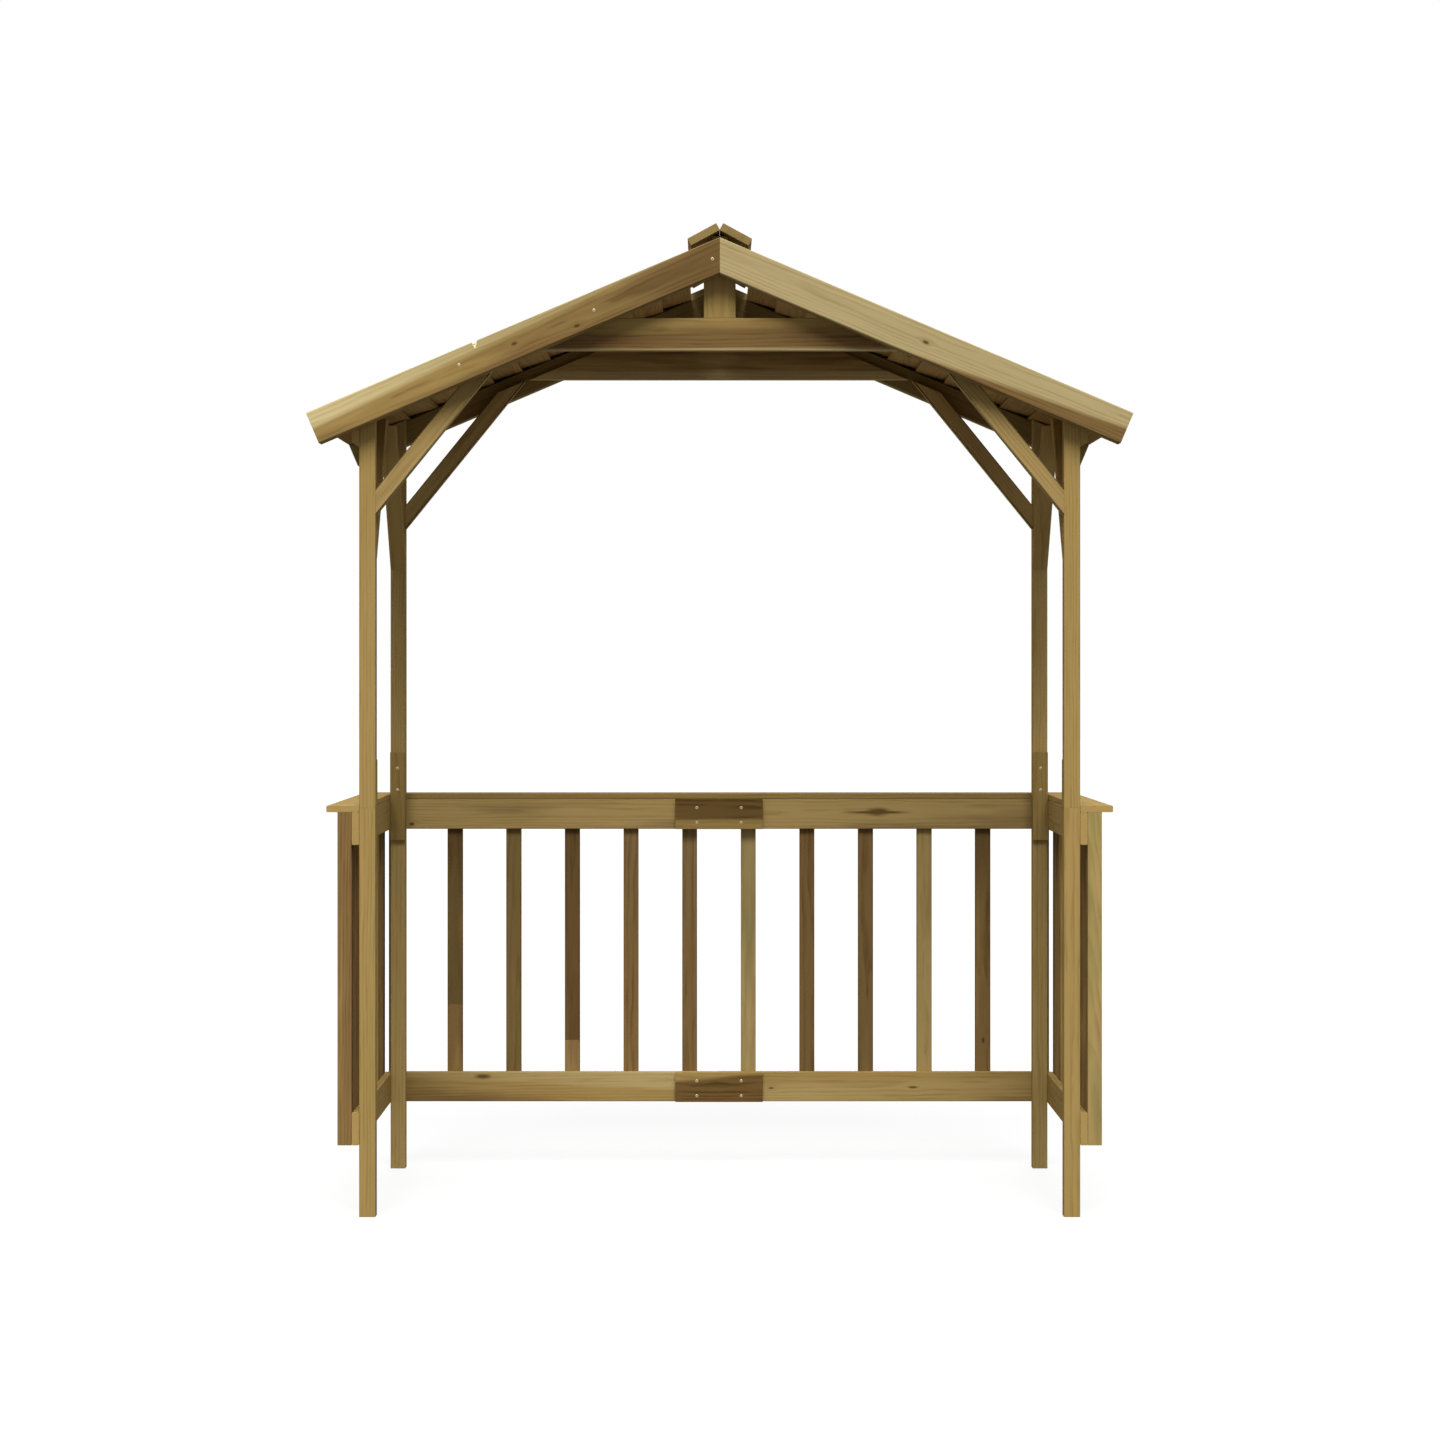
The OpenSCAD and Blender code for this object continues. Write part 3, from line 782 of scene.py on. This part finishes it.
# Rings of a screw head from the recess outward: radius and height as shares, and whether lobed
HEAD_RINGS = (
    (0.30, -0.9, True), (0.36, 0.85, True), (0.42, 1.0, False), (0.70, 0.86, False),
    (0.90, 0.45, False), (1.0, 0.0, False), (1.0, -0.35, False), (0.5, -2.4, False),
)
# Screw heads that show, as frame X and Z in millimetres on the face that carries them
PLATE_SCREW_X = 59.6
POST_SCREW_X = 860
BARGE_SCREWS = ((-18, 2331), (-305, 2207), (-632, 2074))
RAIL_SCREWS = [(x, z) for z in (966, 926) for x in (-PLATE_SCREW_X, PLATE_SCREW_X)]
BOTTOM_SCREWS = [(x, z) for z in (232, 192) for x in (-PLATE_SCREW_X, PLATE_SCREW_X)]
POST_SCREWS = [(x, z) for x in (-POST_SCREW_X, POST_SCREW_X) for z in (1073, 1015)]


def screw_heads(name, places, y, facing, timber, material):
    """Screw heads on one upright face: places are X and Z, facing is -1 for the front."""
    verts, faces = [], []
    for x_mm, z_mm in places:
        rng = random.Random(f"{name} {x_mm} {z_mm}")
        turn = rng.uniform(0, math.tau)
        base = len(verts)
        for radius, rise, lobed in HEAD_RINGS:
            for i in range(HEAD_POINTS):
                a = math.tau * i / HEAD_POINTS
                r = timber.head_radius * radius
                r *= 1 + LOBE_SHARE * math.cos(LOBES * a) if lobed else 1
                verts.append((
                    x_mm * MM + r * math.cos(a + turn), y + facing * rise * timber.head_rise,
                    z_mm * MM + r * math.sin(a + turn)))
        starts = [base + k * HEAD_POINTS for k in range(len(HEAD_RINGS))]
        rings = [range(start, start + HEAD_POINTS) for start in starts]
        made = [list(rings[0])[::-1], list(rings[-1])]
        for inner, outer in zip(rings, rings[1:]):
            for i in range(HEAD_POINTS):
                j = (i + 1) % HEAD_POINTS
                made.append([inner[i], inner[j], outer[j], outer[i]])
        faces += made if facing > 0 else [f[::-1] for f in made]
    piece = new_object(name, verts, faces, material)
    piece.modifiers.new("even_shading", "WEIGHTED_NORMAL")
    return piece


# Stage

SENSOR_MM = 36.0
# How far the camera sees, and the floor reaches to each side
CLIP_END = 200.0
FLOOR_REACH = 60.0


def set_camera(scene):
    """A level camera in front of the gazebo."""
    stage = scene.gazebo_stage
    lens = bpy.data.cameras.new("camera")
    lens.lens, lens.sensor_width = stage.lens_mm, SENSOR_MM
    lens.shift_x, lens.shift_y = stage.shift
    lens.clip_end = CLIP_END
    camera = bpy.data.objects.new("camera", lens)
    camera.location = stage.camera_place
    camera.rotation_euler = (math.radians(90), 0, 0)
    scene.collection.objects.link(camera)
    scene.camera = camera


def set_lights(scene):
    """A soft light from above the front, and a weaker one from above the back."""
    stage = scene.gazebo_stage
    for name, energy, height, turn in (
        ("key", stage.key, stage.key_height, 0.0), ("fill", stage.fill, stage.fill_height, math.pi),
    ):
        lamp = bpy.data.lights.new(name, "SUN")
        lamp.energy, lamp.angle = energy, stage.key_spread
        light = bpy.data.objects.new(name, lamp)
        light.rotation_euler = (math.pi / 2 - height, 0, turn)
        scene.collection.objects.link(light)


def shown_rays(tree):
    """A mask of the rays that show a background: straight to the eye, mirrored or through glass."""
    ray = put(tree, "ShaderNodeLightPath").outputs
    shown = ray["Is Camera Ray"]
    for name in ("Is Glossy Ray", "Is Transmission Ray"):
        shown = put(tree, "ShaderNodeMath", {0: shown, 1: ray[name]}, operation="MAXIMUM").outputs[0]
    return shown


def set_surround(scene):
    """Even light from all round that looks white."""
    world = bpy.data.worlds.new("white_surround")
    world.use_nodes = True
    tree = world.node_tree
    tree.nodes.clear()
    level = put(tree, "ShaderNodeMapRange", {
        "Value": shown_rays(tree), "To Min": scene.gazebo_stage.sky, "To Max": 1.0})
    glow = put(tree, "ShaderNodeBackground", {"Color": (1, 1, 1, 1), "Strength": level.outputs[0]})
    put(tree, "ShaderNodeOutputWorld", {"Surface": glow.outputs[0]})
    scene.world = world


def matt_studio_floor(colours, glow):
    """Matt painted studio floor, clear from below."""
    # Rolled matt paint: white to the eye with a faint shadow, and grey for the light that it sends back
    material, tree = new_material("matt_studio_floor")
    shadow = put(tree, "ShaderNodeBsdfDiffuse", {"Color": colours.floor_shadow})
    bounce = put(tree, "ShaderNodeBsdfDiffuse", {"Color": colours.floor_bounce})
    white = put(tree, "ShaderNodeEmission", {"Color": colours.floor, "Strength": glow})
    both = put(tree, "ShaderNodeAddShader", {0: shadow.outputs[0], 1: white.outputs[0]})
    shown = put(tree, "ShaderNodeMixShader", {
        0: shown_rays(tree), 1: bounce.outputs[0], 2: both.outputs[0]})
    below = put(tree, "ShaderNodeNewGeometry").outputs["Backfacing"]
    clear = put(tree, "ShaderNodeBsdfTransparent")
    shown = put(tree, "ShaderNodeMixShader", {0: below, 1: shown.outputs[0], 2: clear.outputs[0]})
    put(tree, "ShaderNodeOutputMaterial", {"Surface": shown.outputs[0]})
    return material


def set_floor(scene):
    """A wide level floor under the feet of the posts."""
    mesh = bpy.data.meshes.new("floor")
    corners = [(-1, -1), (1, -1), (1, 1), (-1, 1)]
    places = [(x * FLOOR_REACH, y * FLOOR_REACH, CAD_BOX[0].z) for x, y in corners]
    mesh.from_pydata(places, [], [range(len(places))])
    mesh.materials.append(matt_studio_floor(scene.gazebo_colours, scene.gazebo_stage.floor_glow))
    floor = bpy.data.objects.new("floor", mesh)
    scene.collection.objects.link(floor)


# Operators, in the order that main calls them

class GazeboStageOperator(bpy.types.Operator):
    """Sets up the camera, the soft lights, the pale floor and the white surround"""

    bl_idname = "gazebo.stage"
    bl_label = "Stage"

    def execute(self, context):
        context.scene.view_settings.view_transform = "Standard"
        set_camera(context.scene)
        set_lights(context.scene)
        set_surround(context.scene)
        set_floor(context.scene)
        return {"FINISHED"}


def dress_all(context, nodes, finish_name):
    """Dresses several nodes in one finish."""
    material = finish(context, finish_name)
    for node in nodes:
        dress(node, material, context.scene.gazebo_timber.saw_edge)


class GazeboPosts(bpy.types.Operator):
    """Dresses the four posts, each of a lower and an upper length"""

    bl_idname = "gazebo.posts"
    bl_label = "Posts"

    def execute(self, context):
        nodes = [f"{e}_{s}_{p}_post" for e in ENDS for s in SIDES for p in ("lower", "upper")]
        dress_all(context, nodes, "impregnated_pine")
        return {"FINISHED"}


class GazeboPlates(bpy.types.Operator):
    """Dresses the plates that join the posts' lengths and the rear rails"""

    bl_idname = "gazebo.plates"
    bl_label = "Joint plates"

    def execute(self, context):
        nodes = ["front_post_splices", "rear_post_splices", "rear_rail_splices"]
        dress_all(context, nodes, "heart_pine_plates")
        return {"FINISHED"}


class GazeboRails(bpy.types.Operator):
    """Dresses the top and bottom rails of the side and rear panels"""

    bl_idname = "gazebo.rails"
    bl_label = "Rails"

    def execute(self, context):
        nodes = [f"{p}_{r}_rail" for p in PANELS for r in ("top", "bottom")]
        dress_all(context, nodes, "impregnated_pine")
        return {"FINISHED"}


class GazeboBalusters(bpy.types.Operator):
    """Dresses the upright balusters of the panels"""

    bl_idname = "gazebo.balusters"
    bl_label = "Balusters"

    def execute(self, context):
        dress_all(context, [f"{p}_balusters" for p in PANELS], "impregnated_pine")
        return {"FINISHED"}


class GazeboShelves(bpy.types.Operator):
    """Dresses the flat shelf boards on top of the panels"""

    bl_idname = "gazebo.shelves"
    bl_label = "Shelves"

    def execute(self, context):
        dress_all(context, [f"{p}_shelf" for p in PANELS], "impregnated_pine")
        return {"FINISHED"}


class GazeboGables(bpy.types.Operator):
    """Dresses the rafters, ties and king posts of the two gables"""

    bl_idname = "gazebo.gables"
    bl_label = "Gables"

    def execute(self, context):
        nodes = [f"{e}_{s}_rafter" for e in ENDS for s in SIDES]
        nodes += [f"{e}_{p}" for e in ENDS for p in ("tie", "king_post")]
        dress_all(context, nodes, "impregnated_pine")
        return {"FINISHED"}


class GazeboBarges(bpy.types.Operator):
    """Dresses the barge boards that cover the roof's front and rear edges"""

    bl_idname = "gazebo.barges"
    bl_label = "Barge boards"

    def execute(self, context):
        nodes = [f"{e}_{s}_barge" for e in ENDS for s in SIDES]
        dress_all(context, nodes, "impregnated_pine")
        return {"FINISHED"}


class GazeboBraces(bpy.types.Operator):
    """Dresses the slanted braces at the heads of the posts"""

    bl_idname = "gazebo.braces"
    bl_label = "Braces"

    def execute(self, context):
        dress_all(context, [f"{p}_braces" for p in (*ENDS, *SIDES)], "impregnated_pine")
        return {"FINISHED"}


class GazeboBeams(bpy.types.Operator):
    """Dresses the side beams and the ridge beam"""

    bl_idname = "gazebo.beams"
    bl_label = "Beams"

    def execute(self, context):
        dress_all(context, ["left_beam", "right_beam", "ridge_beam"], "impregnated_pine")
        return {"FINISHED"}


class GazeboRoof(bpy.types.Operator):
    """Dresses the lapped roof boards and the two ridge caps"""

    bl_idname = "gazebo.roof"
    bl_label = "Roof boards"

    def execute(self, context):
        dress_all(context, [f"{s}_roof_boards" for s in SIDES], "thin_pine_boards")
        dress_all(context, [f"{s}_ridge_cap" for s in SIDES], "impregnated_pine")
        return {"FINISHED"}


class GazeboScrews(bpy.types.Operator):
    """Sets the screw heads on the barge boards and the joint plates"""

    bl_idname = "gazebo.screws"
    bl_label = "Screws"

    def execute(self, context):
        timber = context.scene.gazebo_timber
        steel = finish(context, "zinc_plated_steel")
        for name, places, node, facing in (
            ("front_barge_screws", BARGE_SCREWS, "front_left_barge", -1),
            ("rear_barge_screws", BARGE_SCREWS, "rear_left_barge", 1),
            ("top_rail_plate_screws", RAIL_SCREWS, "rear_rail_splices", -1),
            ("bottom_rail_plate_screws", BOTTOM_SCREWS, "rear_rail_splices", -1),
            ("rear_post_plate_screws", POST_SCREWS, "rear_post_splices", -1),
            ("front_post_plate_screws", POST_SCREWS, "front_post_splices", 1),
        ):
            low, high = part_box(node)
            screw_heads(name, places, low.y if facing < 0 else high.y, facing, timber, steel)
        return {"FINISHED"}


class GazeboPanel(bpy.types.Panel):
    """Lists the gazebo's settings and steps"""

    bl_idname = "VIEW3D_PT_gazebo"
    bl_label = "Garden gazebo"
    bl_space_type = "VIEW_3D"
    bl_region_type = "UI"
    bl_category = "Gazebo"

    def draw(self, context):
        for group in GROUPS:
            settings = getattr(context.scene, group)
            for name in settings.__annotations__:
                self.layout.prop(settings, name)
        for step in STEPS:
            self.layout.operator(step.bl_idname)


STEPS = (
    GazeboStageOperator, GazeboPosts, GazeboPlates, GazeboRails, GazeboBalusters, GazeboShelves,
    GazeboGables, GazeboBarges, GazeboBraces, GazeboBeams, GazeboRoof, GazeboScrews,
)
GROUPS = {"gazebo_timber": GazeboTimber, "gazebo_colours": GazeboColours, "gazebo_stage": GazeboStage}


def register():
    for item in (*GROUPS.values(), *STEPS, GazeboPanel):
        bpy.utils.register_class(item)
    for name, group in GROUPS.items():
        setattr(bpy.types.Scene, name, bpy.props.PointerProperty(type=group))


def unregister():
    for name in GROUPS:
        delattr(bpy.types.Scene, name)
    for item in (GazeboPanel, *reversed(STEPS), *reversed(list(GROUPS.values()))):
        bpy.utils.unregister_class(item)


def main():
    register()
    bpy.ops.gazebo.stage()
    bpy.ops.gazebo.posts()
    bpy.ops.gazebo.plates()
    bpy.ops.gazebo.rails()
    bpy.ops.gazebo.balusters()
    bpy.ops.gazebo.shelves()
    bpy.ops.gazebo.gables()
    bpy.ops.gazebo.barges()
    bpy.ops.gazebo.braces()
    bpy.ops.gazebo.beams()
    bpy.ops.gazebo.roof()
    bpy.ops.gazebo.screws()


if __name__ == "__main__":
    main()
